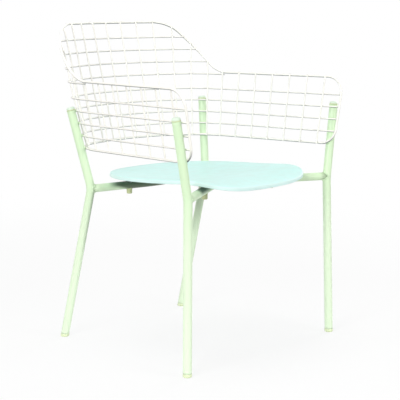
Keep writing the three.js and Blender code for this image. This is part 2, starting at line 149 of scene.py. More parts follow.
paleGrey = (0.8, 0.8, 0.8)  # stands in until a finish gives its own colour


def makeOrangePeel():
    group, gin, gout = newGroup("orangePeel", {"Vector": None, "Scale": 900.0}, ["Height"])
    coarse = noiseNode(group, gin.outputs["Vector"], gin.outputs["Scale"], 1.5, 0.45)
    fineScale = mathNode(group, "MULTIPLY", gin.outputs["Scale"], 3.1)
    fine = noiseNode(group, gin.outputs["Vector"], fineScale, 1.0, 0.5)
    both = mathNode(group, "ADD", coarse, mathNode(group, "MULTIPLY", fine, 0.35))
    group.links.new(both, gout.inputs["Height"])
    return group


def makeToneDrift():
    inputs = {"Vector": None, "Colour": paleGrey, "Shade": paleGrey, "Amount": 0.4, "Scale": 7.0}
    group, gin, gout = newGroup("toneDrift", inputs, ["Colour", "Mask"])
    cloud = noiseNode(group, gin.outputs["Vector"], gin.outputs["Scale"], 4.0, 0.55)
    mask = mathNode(group, "MULTIPLY", rangeNode(group, cloud, 0.34, 0.7), gin.outputs["Amount"])
    joinNodes(
        group,
        (mixColour(group, mask, gin.outputs["Colour"], gin.outputs["Shade"]), gout.inputs["Colour"]),
        (mask, gout.inputs["Mask"]),
    )
    return group


def makeRestingDust():
    inputs = {"Vector": None, "Colour": paleGrey, "Dust": paleGrey, "Amount": 0.2}
    group, gin, gout = newGroup("restingDust", inputs, ["Colour", "Mask"])
    facingUp = rangeNode(group, facingZ(group), 0.15, 0.95)
    patchy = rangeNode(group, noiseNode(group, gin.outputs["Vector"], 38.0, 5.0, 0.62), 0.35, 0.72)
    specks = rangeNode(group, noiseNode(group, gin.outputs["Vector"], 620.0, 2.0, 0.6), 0.6, 0.74)
    film = mathNode(group, "MULTIPLY", patchy, 0.7)
    spread = mathNode(group, "ADD", film, mathNode(group, "MULTIPLY", specks, 0.6))
    settled = mathNode(group, "MULTIPLY", facingUp, spread)
    mask = mathNode(group, "MULTIPLY", settled, gin.outputs["Amount"], clamp=True)
    joinNodes(
        group,
        (mixColour(group, mask, gin.outputs["Colour"], gin.outputs["Dust"]), gout.inputs["Colour"]),
        (mask, gout.inputs["Mask"]),
    )
    return group


def makeScuffs():
    group, gin, gout = newGroup("scuffs", {"Vector": None, "Scale": 60.0, "Amount": 0.3}, ["Mask"])
    stretch = group.nodes.new("ShaderNodeVectorMath")
    stretch.operation = "MULTIPLY"
    stretch.inputs[1].default_value = (1.0, 0.35, 2.6)
    group.links.new(gin.outputs["Vector"], stretch.inputs[0])
    streaks = noiseNode(group, stretch.outputs[0], gin.outputs["Scale"], 6.0, 0.7)
    regions = rangeNode(group, noiseNode(group, gin.outputs["Vector"], 11.0, 2.0, 0.5), 0.52, 0.66)
    mask = mathNode(group, "MULTIPLY", rangeNode(group, streaks, 0.58, 0.7), regions)
    group.links.new(mathNode(group, "MULTIPLY", mask, gin.outputs["Amount"], clamp=True), gout.inputs["Mask"])
    return group


# darkens welds and crossings, paints shade where the seat covers the rails and legs, and paints shade on faces turned
# downwards
def makeSeamAndPaintedShade():
    inputs = {"Colour": paleGrey, "Shade": paleGrey, "Amount": 0.4, "Under": 0.1}
    group, gin, gout = newGroup("seamAndPaintedShade", inputs, ["Colour"])
    seamAndShade = group.nodes.new("ShaderNodeAttribute")
    seamAndShade.attribute_name = "seamAndShade"
    facingDown = mathNode(group, "MULTIPLY", rangeNode(group, facingZ(group), -0.1, -0.8), gin.outputs["Under"])
    inSeam = mathNode(group, "MULTIPLY", seamAndShade.outputs["Fac"], gin.outputs["Amount"])
    mask = mathNode(group, "MAXIMUM", inSeam, facingDown, clamp=True)
    group.links.new(mixColour(group, mask, gin.outputs["Colour"], gin.outputs["Shade"]), gout.inputs["Colour"])
    return group


# painted light: the colour turns paler towards the floor
def makePaintedLowLight():
    inputs = {"Vector": None, "Colour": paleGrey, "Low": paleGrey, "Top": 0.42, "Base": 0.2}
    group, gin, gout = newGroup("lowTone", inputs, ["Colour"])
    split = group.nodes.new("ShaderNodeSeparateXYZ")
    group.links.new(gin.outputs["Vector"], split.inputs[0])
    span = mathNode(group, "SUBTRACT", gin.outputs["Top"], gin.outputs["Base"])
    below = mathNode(group, "SUBTRACT", gin.outputs["Top"], split.outputs["Z"])
    mask = mathNode(group, "DIVIDE", below, span, clamp=True)
    group.links.new(mixColour(group, mask, gin.outputs["Colour"], gin.outputs["Low"]), gout.inputs["Colour"])
    return group


# painted highlight: faces that look sideways turn paler
def makeFlankTone():
    group, gin, gout = newGroup("paintedFlankHighlight", {"Colour": paleGrey, "Flank": paleGrey, "Amount": 0.8}, ["Colour"])
    level = rangeNode(group, mathNode(group, "ABSOLUTE", facingZ(group)), 0.9, 0.5)
    mask = mathNode(group, "MULTIPLY", level, gin.outputs["Amount"], clamp=True)
    group.links.new(mixColour(group, mask, gin.outputs["Colour"], gin.outputs["Flank"]), gout.inputs["Colour"])
    return group


orangePeel = makeOrangePeel()
toneDrift = makeToneDrift()
restingDust = makeRestingDust()
scuffs = makeScuffs()
seamAndPaintedShade = makeSeamAndPaintedShade()
lowTone = makePaintedLowLight()
paintedFlankHighlight = makeFlankTone()


# the finishes and their helpers
def placeGroup(tree, group, **values):
    node = tree.nodes.new("ShaderNodeGroup")
    node.node_tree = group
    for label, value in values.items():
        socket = node.inputs[label]
        if isinstance(value, (int, float)):
            socket.default_value = value
        elif isinstance(value, tuple):
            socket.default_value = (*value, 1)
        else:
            tree.links.new(value, socket)
    return node


def linear(*levels):
    shares = [level / 255 for level in levels]
    return tuple(c / 12.92 if c <= 0.04045 else ((c + 0.055) / 1.055) ** 2.4 for c in shares)


def coatMaterial(name, s):
    mat = bpy.data.materials.new(name)
    mat.use_nodes = True
    tree = mat.node_tree
    shader = tree.nodes["Principled BSDF"]
    place = tree.nodes.new("ShaderNodeTexCoord").outputs["Object"]
    tone = placeGroup(
        tree, toneDrift, Vector=place, Colour=s["colour"], Shade=s["shade"], Amount=s["drift"], Scale=s["driftScale"]
    )
    base = tone.outputs["Colour"]
    # painted light towards the floor, a painted highlight on sideways faces, then welds and painted shade
    if "low" in s:
        low = placeGroup(tree, lowTone, Vector=place, Colour=base, Low=s["low"], Top=s["lowTop"], Base=s["lowBase"])
        base = low.outputs["Colour"]
    if "flankHighlight" in s:
        base = placeGroup(tree, paintedFlankHighlight, Colour=base, Flank=s["flankHighlight"], Amount=s["flankHighlightAmount"]).outputs["Colour"]
    seamAndShade = placeGroup(tree, seamAndPaintedShade, Colour=base, Shade=s["seamAndShade"], Amount=s["seamAndShadeAmount"], Under=s["paintedUnderShade"])
    dust = placeGroup(
        tree, restingDust, Vector=place, Colour=seamAndShade.outputs["Colour"], Dust=s["dust"], Amount=s["dustAmount"]
    )
    worn = placeGroup(tree, scuffs, Vector=place, Scale=s["scuffScale"], Amount=s["scuffAmount"])
    colour = mixColour(tree, worn.outputs["Mask"], dust.outputs["Colour"], s["scuffColour"])
    rough = s["roughness"]
    for mask, amount in ((tone, s["roughDrift"]), (dust, s["dustRoughness"]), (worn, s["scuffRoughness"])):
        rough = mathNode(tree, "ADD", mathNode(tree, "MULTIPLY", mask.outputs["Mask"], amount), rough, clamp=True)
    peel = placeGroup(tree, orangePeel, Vector=place, Scale=s["peelScale"])
    bump = tree.nodes.new("ShaderNodeBump")
    bump.inputs["Strength"].default_value = s["peelStrength"]
    bump.inputs["Distance"].default_value = s["peelDepth"]
    joinNodes(
        tree,
        (peel.outputs["Height"], bump.inputs["Height"]),
        (bump.outputs["Normal"], shader.inputs["Normal"]),
        (colour, shader.inputs["Base Color"]),
        (rough, shader.inputs["Roughness"]),
    )
    shader.inputs["Metallic"].default_value = s["metallic"]
    shader.inputs["Specular IOR Level"].default_value = s["specular"]
    shader.inputs["Coat Weight"].default_value = s["coat"]
    shader.inputs["Coat Roughness"].default_value = s["coatRoughness"]
    return mat


coatBase = {
    # faces turned downwards are darkened a little on every finish, as painted shade
    "drift": 0.5, "driftScale": 6.0, "seamAndShadeAmount": 0.45, "paintedUnderShade": 0.1,
    "dust": linear(214, 212, 200), "dustAmount": 0.22, "dustRoughness": 0.35,
    "scuffScale": 70.0, "scuffAmount": 0.25, "scuffRoughness": 0.25, "roughness": 0.42, "roughDrift": 0.12,
    "peelScale": 700.0, "peelStrength": 0.22, "peelDepth": 0.0004, "metallic": 0.0, "specular": 0.5,
    "coat": 0.12, "coatRoughness": 0.25,
}
# the dark colour darkens welds and paints the shadow of the seat on rails and legs, and the legs turn paler towards
# the floor as painted light
mintCoat = coatMaterial("mintCoat", {
    **coatBase, "colour": linear(219, 243, 205), "shade": linear(212, 239, 197),
    "seamAndShade": linear(60, 82, 56), "seamAndShadeAmount": 1.0, "scuffColour": linear(190, 214, 176),
    "low": linear(228, 246, 215), "lowTop": 0.425, "lowBase": 0.3,
})
# the underside is darkened as painted shade, and the sideways edge turns paler as a painted highlight
aquaCoat = coatMaterial("aquaCoat", {
    **coatBase, "colour": linear(205, 247, 242), "shade": linear(199, 243, 236),
    "seamAndShade": linear(110, 150, 136), "paintedUnderShade": 0.45, "flankHighlight": linear(228, 250, 246), "flankHighlightAmount": 0.7,
    "scuffColour": linear(188, 222, 214), "roughness": 0.4, "peelScale": 620.0, "scuffScale": 46.0,
})
# the undersides of the wires are strongly darkened as painted shade, and the same dark colour also marks the
# crossings
creamCoat = coatMaterial("creamCoat", {
    **coatBase, "colour": linear(250, 248, 241), "shade": linear(246, 244, 236),
    "seamAndShade": linear(80, 88, 94), "seamAndShadeAmount": 0.42, "paintedUnderShade": 1.0, "scuffColour": linear(222, 222, 215),
    "dust": linear(224, 224, 216), "dustAmount": 0.12, "roughness": 0.44, "peelScale": 1100.0,
})
mintPlastic = coatMaterial("mintPlastic", {
    **coatBase, "colour": linear(225, 243, 224), "shade": linear(218, 239, 216),
    "seamAndShade": linear(200, 206, 140), "seamAndShadeAmount": 0.85, "scuffColour": linear(198, 216, 196), "roughness": 0.34,
    "peelScale": 1700.0, "peelStrength": 0.12, "coat": 0.0,
})
glidePlastic = coatMaterial("glidePlastic", {
    **coatBase, "colour": linear(226, 238, 198), "shade": linear(217, 229, 186),
    "seamAndShade": linear(176, 172, 122), "scuffColour": linear(196, 196, 156), "scuffAmount": 0.7, "roughness": 0.55,
    "peelScale": 1500.0, "coat": 0.0,
})
tanRubber = coatMaterial("tanRubber", {
    **coatBase, "colour": linear(200, 206, 162), "shade": linear(186, 190, 144),
    "seamAndShade": linear(110, 108, 72), "scuffColour": linear(198, 200, 164), "roughness": 0.72,
    "peelScale": 1900.0, "peelStrength": 0.4, "coat": 0.0, "specular": 0.3,
})
zincSteel = coatMaterial("zincSteel", {
    **coatBase, "colour": linear(186, 188, 190), "shade": linear(160, 162, 160),
    "seamAndShade": linear(90, 90, 88), "scuffColour": linear(210, 210, 208), "roughness": 0.34, "metallic": 1.0,
    "peelScale": 1300.0, "coat": 0.0, "drift": 0.8, "driftScale": 60.0,
})
print("finishes made")


# mesh helpers
def finishPiece(name, verts, faces, material, replaced=(), seamAndShade=None):
    mesh = bpy.data.meshes.new(name)
    mesh.from_pydata([tuple(v) for v in verts], [], faces)
    mesh.validate()
    mesh.materials.append(material)
    # the attribute marks welds and crossings, and painted shade where the seat covers rails and legs
    if seamAndShade is not None:
        shade = mesh.attributes.new("seamAndShade", "FLOAT", "POINT")
        shade.data.foreach_set("value", np.clip(np.asarray(seamAndShade, np.float32), 0, 1))
    mesh.shade_smooth()
    obj = bpy.data.objects.new(name, mesh)
    bpy.context.scene.collection.objects.link(obj)
    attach(obj, "root")
    if replaced:
        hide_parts(*replaced)


def pathFrames(points, closed=False):
    points = np.asarray(points, float)
    if closed:
        tangents = np.roll(points, -1, 0) - np.roll(points, 1, 0)
    else:
        tangents = np.gradient(points, axis=0)
    tangents /= np.linalg.norm(tangents, axis=1)[:, None]
    first = np.cross(tangents[0], (0, 0, 1.0))
    if np.linalg.norm(first) < 0.2:
        first = np.cross(tangents[0], (0, 1.0, 0))
    normals = [first / np.linalg.norm(first)]
    for i in range(1, len(points)):
        carried = normals[-1] - tangents[i] * np.dot(normals[-1], tangents[i])
        normals.append(carried / np.linalg.norm(carried))
    normals = np.array(normals)
    return points, tangents, normals, np.cross(tangents, normals)


def sweepRings(points, radii, sides, closed=False):
    points, tangents, normals, binormals = pathFrames(points, closed)
    radii = np.broadcast_to(radii, (len(points),))
    angles = turnSteps(sides)
    rings = (
        points[:, None, :]
        + radii[:, None, None] * np.cos(angles)[None, :, None] * normals[:, None, :]
        + radii[:, None, None] * np.sin(angles)[None, :, None] * binormals[:, None, :]
    )
    return rings


def ringFaces(count, sides, start=0, closed=False, flip=False):
    faces = []
    for i in range(count if closed else count - 1):
        a, b = start + i * sides, start + ((i + 1) % count) * sides
        for j in range(sides):
            k = (j + 1) % sides
            quad = (a + j, a + k, b + k, b + j)
            faces.append(quad[::-1] if flip else quad)
    return faces


def cappedRings(rings, sides, flip=False):
    verts = np.array([point for ring in rings for point in ring])
    faces = ringFaces(len(rings), sides, flip=flip)
    first = tuple(range(sides))
    last = tuple((len(rings) - 1) * sides + j for j in range(sides))
    return verts, faces + ([first, last[::-1]] if flip else [first[::-1], last])


def unitVector(v):
    return v / np.linalg.norm(v)


def clamped(value):
    return min(max(value, 0), 1)


def turnSteps(count):
    return np.arange(count) / count * 2 * math.pi


tipSettings = {"steps": 4, "angle": 87.3, "length": 0.45, "taper": 0.62}


def roundEnded(points, radius, s):
    points = np.asarray(points, float)
    head = unitVector(points[0] - points[1])
    tail = unitVector(points[-1] - points[-2])
    angles = np.radians(np.linspace(0, s["angle"], s["steps"] + 1)[1:])
    headPoints = [points[0] + head * radius * s["length"] * math.sin(a) for a in angles][::-1]
    tailPoints = [points[-1] + tail * radius * s["length"] * math.sin(a) for a in angles]
    endRadii = radius * np.cos(angles * s["taper"])
    path = np.array([*headPoints, *points, *tailPoints])
    return path, np.concatenate([endRadii[::-1], np.full(len(points), radius), endRadii])


def solidBar(points, radius, sides, roundTips=True):
    path, radii = roundEnded(points, radius, tipSettings) if roundTips else (points, radius)
    return cappedRings(sweepRings(path, radii, sides), sides)


def blobMesh(centre, axes, radii, rings=5, sides=8):
    verts = [centre + axes[2] * radii[2]]
    for i in range(1, rings):
        lift = math.pi * i / rings
        for j in range(sides):
            around = 2 * math.pi * j / sides
            verts.append(
                centre
                + axes[0] * (radii[0] * math.sin(lift) * math.cos(around))
                + axes[1] * (radii[1] * math.sin(lift) * math.sin(around))
                + axes[2] * (radii[2] * math.cos(lift))
            )
    verts.append(centre - axes[2] * radii[2])
    last = len(verts) - 1
    faces = []
    for j in range(sides):
        k = (j + 1) % sides
        faces.append((0, 1 + j, 1 + k))
        for i in range(rings - 2):
            a, b = 1 + i * sides, 1 + (i + 1) * sides
            faces.append((a + j, b + j, b + k, a + k))
        faces.append((last, last - sides + k, last - sides + j))
    return np.array(verts), faces


def joinParts(parts):
    verts, faces, start = [], [], 0
    for partVerts, partFaces in parts:
        verts.append(np.asarray(partVerts))
        faces += [tuple(start + i for i in face) for face in partFaces]
        start += len(partVerts)
    return np.concatenate(verts), faces


def turnedRings(profile, base, axis, sides):
    axis = np.asarray(axis, float) / np.linalg.norm(axis)
    across = np.cross(axis, (0.0, 1.0, 0.0))
    across /= np.linalg.norm(across)
    third = np.cross(axis, across)
    angles = turnSteps(sides)
    spokes = np.cos(angles)[:, None] * across + np.sin(angles)[:, None] * third
    rings = [np.asarray(base) + axis * along + radius * spokes for radius, along in profile]
    return cappedRings(rings, sides)


# the shell's surface, in the same numbers as the solids
shell = {
    "lowCurve": {"backY": 0.4936, "backRadius": 0.433, "backAngle": 17, "cornerRadius": 0.148, "taperAngle": 4.83},
    "armCurve": {"backY": 0.5321, "backRadius": 0.402, "backAngle": 31.4, "cornerRadius": 0.084, "taperAngle": 6.2},
    "lowPitch": (0.04403, 0.0389, 0.05123),
    "armPitch": (0.04743, 0.048, 0.0534),
    "backWires": 3,
    "cornerWires": 4,
    "lowHeight": 0.4947,
    "armHeight": 0.6622,
    "backHeight": 0.7966,
    "rowPitch": 0.0308,
    "backRows": (0.657, 0.69003, 0.72306, 0.75609),
    "wireRadius": 0.002,
    "rimRadius": 0.003,
    "gap": 0.0003,
}

# above the arms the two corners round off: they are drawn in most at one wire, and more with height
shoulderSettings = {"depth": 0.0068, "wire": 5.46, "spread": 2.72, "fromHeight": 0.62, "toHeight": 0.734}


def wireArc(wire, pitch):
    inBack = min(abs(wire), shell["backWires"])
    inCorner = min(abs(wire) - inBack, shell["cornerWires"])
    inSide = abs(wire) - inBack - inCorner
    return math.copysign(inBack * pitch[0] + inCorner * pitch[1] + inSide * pitch[2], wire)


def wireAt(arc):
    back, corner, side = shell["armPitch"]
    backLength = shell["backWires"] * back
    cornerLength = shell["cornerWires"] * corner
    if arc < backLength:
        return arc / back
    if arc < backLength + cornerLength:
        return shell["backWires"] + (arc - backLength) / corner
    return shell["backWires"] + shell["cornerWires"] + (arc - backLength - cornerLength) / side


def planPoint(curve, arc):
    # gives the point at a length along the curve and the level direction outwards there
    backAngle = math.radians(curve["backAngle"])
    sideAngle = math.pi / 2 - math.radians(curve["taperAngle"])
    length = abs(arc)
    backLength = curve["backRadius"] * backAngle
    cornerLength = curve["cornerRadius"] * (sideAngle - backAngle)
    inBack = min(length, backLength) / curve["backRadius"]
    inCorner = min(max(length - backLength, 0), cornerLength) / curve["cornerRadius"]
    inSide = max(length - backLength - cornerLength, 0)
    x = curve["backRadius"] * math.sin(inBack)
    y = curve["backY"] - curve["backRadius"] * (1 - math.cos(inBack))
    if inCorner > 0:
        x += curve["cornerRadius"] * (math.sin(backAngle + inCorner) - math.sin(backAngle))
        y -= curve["cornerRadius"] * (math.cos(backAngle) - math.cos(backAngle + inCorner))
    x += inSide * math.cos(sideAngle)
    y -= inSide * math.sin(sideAngle)
    heading = inBack + inCorner
    mirror = np.array([math.copysign(1, arc), 1])
    return np.array([x, y]) * mirror, np.array([math.sin(heading), math.cos(heading)]) * mirror


def drawnIn(wire, height, s):
    near = max(0, 1 - abs(abs(wire) - s["wire"]) / s["spread"])
    rise = clamped((height - s["fromHeight"]) / (s["toHeight"] - s["fromHeight"]))
    return s["depth"] * math.sin(near * math.pi / 2) ** 2 * rise ** 2 * (3 - 2 * rise)


def surfacePoint(wire, height):
    low, _ = planPoint(shell["lowCurve"], wireArc(wire, shell["lowPitch"]))
    high, outward = planPoint(shell["armCurve"], wireArc(wire, shell["armPitch"]))
    share = (height - shell["lowHeight"]) / (shell["armHeight"] - shell["lowHeight"])
    plan = low + (high - low) * share - outward * drawnIn(wire, height, shoulderSettings)
    return np.array([plan[0], plan[1] + depthShift, height])


def shellAxes(wire, height):
    along = unitVector(surfacePoint(wire + 0.01, height) - surfacePoint(wire - 0.01, height))
    rise = unitVector(surfacePoint(wire, shell["armHeight"]) - surfacePoint(wire, shell["lowHeight"]))
    normal = unitVector(np.cross(rise, along))
    return along, rise, normal


def shellPoint(wire, height, outward=0.0):
    point = surfacePoint(wire, height)
    if not outward:
        return point
    normal = shellAxes(wire, height)[2]
    level = np.array([normal[0], normal[1], 0.0])
    return point + level * outward / np.dot(level, level)


gridOffset = 2 * shell["wireRadius"] + shell["gap"]
rimOffset = shell["wireRadius"] + shell["rimRadius"] + shell["gap"]


# the shell's rim
rimSettings = {
    "shoulderTop": 0.1825,
    "shoulderSlope": 1.04,
    "radii": (0.096, 0.079, 0.045, 0.038),
    "frontEndWire": 13.95,
    "sides": 20,
    "step": 0.004,
}


def filletedPath(corners, radii, step):
    corners = [np.asarray(c, float) for c in corners]
    path = [corners[0]]

    def runTo(target):
        start = path[-1]
        count = max(1, int(np.linalg.norm(target - start) / step))
        path.extend(start + (target - start) * i / count for i in range(1, count + 1))

    for i, radius in enumerate(radii):
        corner = corners[i + 1]
        before = unitVector(corner - corners[i])
        after = unitVector(corners[i + 2] - corner)
        turn = math.acos(np.clip(np.dot(before, after), -1, 1))
        inward = unitVector(after - before * np.dot(before, after))
        start = corner - before * radius * math.tan(turn / 2)
        runTo(start)
        count = max(3, int(radius * turn / step))
        for j in range(1, count + 1):
            angle = turn * j / count
            path.append(start + inward * radius * (1 - math.cos(angle)) + before * radius * math.sin(angle))
    runTo(corners[-1])
    return path


def rimOutline(s):
    elbow = s["shoulderTop"] + (shell["backHeight"] - shell["armHeight"]) / s["shoulderSlope"]
    front = wireArc(s["frontEndWire"], shell["armPitch"])
    top, arm, low = shell["backHeight"], shell["armHeight"], shell["lowHeight"]
    corners = [(0, top), (s["shoulderTop"], top), (elbow, arm), (front, arm), (front, low), (shell["gap"] / 2, low)]
    return filletedPath(corners, s["radii"], s["step"])


outline = rimOutline(rimSettings)


def rimHeightAt(arc):
    for a, b in zip(outline, outline[1:]):
        if b[0] >= arc:
            return a[1] + (b[1] - a[1]) * (arc - a[0]) / (b[0] - a[0])
    return shell["armHeight"]


def rimArcAt(height):
    for a, b in zip(reversed(outline[:-1]), reversed(outline[1:])):
        if a[1] >= height > b[1]:
            return a[0] + (b[0] - a[0]) * (a[1] - height) / (a[1] - b[1])
    return 0


rimRight = [shellPoint(wireAt(p[0]), p[1], rimOffset) for p in outline]
rimLeft = [shellPoint(-wireAt(p[0]), p[1], rimOffset) for p in outline[1:]]
rimPath = [*rimRight[::-1], *rimLeft]
verts, faces = solidBar(rimPath, shell["rimRadius"], rimSettings["sides"], roundTips=False)
finishPiece("rimWire", verts, faces, creamCoat, ["shell_rim"])
print("rim made")


# the wires of the grid
gridSettings = {
    "wires": 13, "sides": 14, "trim": 0.0015, "step": 0.004, "samplesPerWire": 10, "seamReach": 0.0036,
    "sideRows": 4, "lowestBackRowWire": 7.06,
}


def seamNear(points, marks, reach):
    marks = np.asarray(marks)
    gaps = np.linalg.norm(points[:, None, :] - marks[None, :, :], axis=2).min(1)
    return 1 - np.clip(gaps / reach, 0, 1)


def uprightSpan(wire):
    top = rimHeightAt(wireArc(abs(wire), shell["armPitch"]))
    return shell["lowHeight"] - gridSettings["trim"], top + gridSettings["trim"]


def rowEnd(height):
    return wireAt(rimArcAt(height))


sideHeights = [shell["lowHeight"] + (i + 1) * shell["rowPitch"] for i in range(gridSettings["sideRows"])]
rows = [("side_row_%d" % (i + 1), height, rowEnd(height)) for i, height in enumerate(sideHeights)]
for i, height in enumerate(shell["backRows"]):
    rows.append(("back_row_%d" % (i + 1), height, rowEnd(height) if i else gridSettings["lowestBackRowWire"]))

wireNumbers = range(-gridSettings["wires"], gridSettings["wires"] + 1)


def upright(wire, s):
    low, high = uprightSpan(wire)
    count = int((high - low) / s["step"])
    points = [shellPoint(wire, low + (high - low) * i / count) for i in range(count + 1)]
    verts, faces = solidBar(points, shell["wireRadius"], s["sides"])
    marks = [shellPoint(wire, height, gridOffset / 2) for _, height, end in rows if low < height < high]
    marks += [shellPoint(wire, height, rimOffset / 2) for height in (low, high)]
    place = "%s_%d" % ("left" if wire > 0 else "right", abs(wire)) if wire else "centre"
    seamAndShade = seamNear(verts, marks, s["seamReach"])
    finishPiece("uprightWire_" + place, verts, faces, creamCoat, ["upright_" + place], seamAndShade)


def levelRow(node, height, end, s):
    samples = np.linspace(-end, end, int(2 * end * s["samplesPerWire"]) + 1)
    points = [shellPoint(wire, height, gridOffset) for wire in samples]
    verts, faces = solidBar(points, shell["wireRadius"], s["sides"], roundTips=False)
    marks = [shellPoint(wire, height, gridOffset / 2) for wire in wireNumbers if abs(wire) < end]
    marks += [points[0], points[-1]]
    name = node.replace("row", "levelWire")
    finishPiece(name, verts, faces, creamCoat, [node], seamNear(verts, marks, s["seamReach"]))


for wire in wireNumbers:
    upright(wire, gridSettings)
for row in rows:
    levelRow(*row, gridSettings)
print("grid wires made")


# welds where the wires cross
crossWeldSettings = {
    "width": 0.0023, "depth": 0.0016, "rimWidth": 0.003, "rimClear": 0.004,
    "endLength": 0.0028, "endInset": 0.0028, "endRadius": 0.00264, "seamAndShade": 0.55,
}


def gridWelds(s):
    parts = []
    for wire in wireNumbers:
        low, high = uprightSpan(wire)
        for _, height, end in rows:
            if abs(wire) < end and low < height < high - s["rimClear"]:
                centre = shellPoint(wire, height, gridOffset / 2)
                parts.append(blobMesh(centre, shellAxes(wire, height), (s["width"], s["width"], s["depth"])))
        for height in (shell["lowHeight"], high - gridSettings["trim"]):
            centre = shellPoint(wire, height, shell["wireRadius"] + shell["gap"] / 2)
            parts.append(blobMesh(centre, shellAxes(wire, height), (s["width"], s["rimWidth"], s["depth"])))
    fitted = [row for row in rows if row[2] != gridSettings["lowestBackRowWire"]]
    for _, height, end in fitted:
        for side in (-1, 1):
            axes = shellAxes(side * end, height)
            centre = shellPoint(side * end, height, gridOffset) - axes[0] * side * s["endInset"]
            parts.append(blobMesh(centre, axes, (s["endLength"], s["endRadius"], s["endRadius"])))
    verts, faces = joinParts(parts)
    finishPiece("gridWelds", verts, faces, creamCoat, seamAndShade=np.full(len(verts), s["seamAndShade"]))


gridWelds(crossWeldSettings)
print("grid welds made")


# the seat's outline and surface, which the legs, rails and stand-offs also need
panSettings = {
    "halfWidth": 0.2046, "halfDepth": 0.2274, "centreY": 0.22946, "frontSquareness": 4.27, "rearSquareness": 2.27,
    "top": 0.4344, "tiltSlope": -0.0378, "dish": 0.011, "frontDrop": 0.0223,
    "sheet": 0.002, "edge": 0.005, "flange": 0.0099, "sides": 240, "faceRings": 26, "bendSteps": 8,
    "innerRing": 0.04, "lipTurn": 0.4, "lipSteps": 5,
}


def panReach(angle, s):
    squareness = s["frontSquareness"] if math.sin(angle) < 0 else s["rearSquareness"]
    across = abs(math.cos(angle) / s["halfWidth"]) ** squareness
    along = abs(math.sin(angle) / s["halfDepth"]) ** squareness
    return 1 / (across + along) ** (1 / squareness)


def panBack(y):
    return y - panSettings["centreY"] - depthShift


def panEdge(angle, s):
    return panReach(angle, s) * np.array([math.cos(angle), math.sin(angle)])


def panSurface(x, back, s):
    dishShare = 1 - (x / s["halfWidth"]) ** 2 - (back / s["halfDepth"]) ** 2
    frontShare = clamped(-2 * back / s["halfDepth"] - 1)
    return s["top"] + s["tiltSlope"] * back - s["dish"] * dishShare - s["frontDrop"] * frontShare ** 2


# the legs
legSettings = {
    "radius": 0.0105, "wall": 0.0015, "bend": 0.06, "sides": 56, "step": 0.006, "footCut": 0.0085,
    "kneeSeam": 0.1, "kneeReach": 0.016, "kneeMark": 0.002, "seatShadeFrom": 0.2, "seatShadeTo": 0.3,
    "facingFrom": 0.2, "facingSteepness": 1.5, "copeStep": 0.002,
    "rear": {
        "foot": (0.2202, 0.4999), "knee": 0.3946, "top": 0.588, "lowWire": 5.7, "highWire": 5.5702,
        "paintedSeatShade": 0.42,
    },
    "front": {
        "foot": (0.2722, 0.0208), "knee": 0.406, "top": 0.591, "lowWire": 13.5594, "highWire": 13.4897,
        "paintedSeatShade": 0.08,
    },
}


corners = [(end, side) for end in ("front", "rear") for side in (1, -1)]


def placeName(end, side):
    return "%s_%s" % (end, "left" if side > 0 else "right")


def legCorners(end, side):
    leg = legSettings[end]
    radius, gap = legSettings["radius"], shell["gap"]
    highLevel = sideHeights[2]
    low = shellPoint(leg["lowWire"], shell["lowHeight"], rimOffset + shell["rimRadius"] + gap + radius)
    high = shellPoint(leg["highWire"], highLevel, gridOffset + shell["wireRadius"] + gap + radius)
    rise = high - low
    knee = low + rise * (leg["knee"] - low[2]) / rise[2]
    top = low + rise * (leg["top"] - low[2]) / rise[2]
    floor = np.array([leg["foot"][0], leg["foot"][1] + depthShift, 0])
    return [corner * np.array([side, 1, 1]) for corner in (floor, knee, top)]


def tubeMesh(outer, inner):
    count, sides = outer.shape[:2]
    verts = np.concatenate([outer.reshape(-1, 3), inner.reshape(-1, 3)])
    shift = count * sides
    faces = ringFaces(count, sides) + ringFaces(count, sides, shift, flip=True)
    for j in range(sides):
        k = (j + 1) % sides
        faces.append((j, shift + j, shift + k, k))
        a = (count - 1) * sides
        faces.append((a + k, shift + a + k, shift + a + j, a + j))
    return verts, faces


railSettings = {
    "radius": 0.01, "sides": 52, "step": 0.006, "paintedSeatShade": 0.95, "coverEdge": 1.02, "coverFade": 0.1,
    "deepEdge": 0.91, "deepFade": 0.18, "facingFrom": -0.5, "facingSpan": 0.9, "weldSeam": 0.14, "weldReach": 0.007,
    "front": {"height": 0.4105, "slope": 0.53, "bow": 0.12, "deep": 0.0, "stud": 0.1245},
    "rear": {"height": 0.3936, "slope": -0.2, "bow": 0.3, "deep": 1.4, "stud": 0.101},
}


def railEnd(end, side):
    knee = legCorners(end, side)[1]
    return np.array([knee[0], knee[1], railSettings[end]["height"]])


def railMiddle(end):
    left = railEnd(end, 1)
    return np.array([0, left[1] + railSettings[end]["slope"] * left[0], left[2]])


def railInward(end, side):
    return unitVector(railMiddle(end) - railEnd(end, side))


def paintedSeatShadeOnLeg(point, floor, knee, s):
    # painted shadow of the seat: the sides that face the middle of the seat are darker up to the knee
    rise = point[2] / knee[2]
    offset = (point - floor - (knee - floor) * rise) / s["radius"]
    inward = unitVector(np.array([-knee[0], -panBack(knee[1]), 0]))
    facing = clamped((float(offset @ inward) - s["facingFrom"]) * s["facingSteepness"])
    climb = clamped((point[2] - s["seatShadeFrom"]) / (s["seatShadeTo"] - s["seatShadeFrom"]))
    return facing * climb if rise < 1 else 0


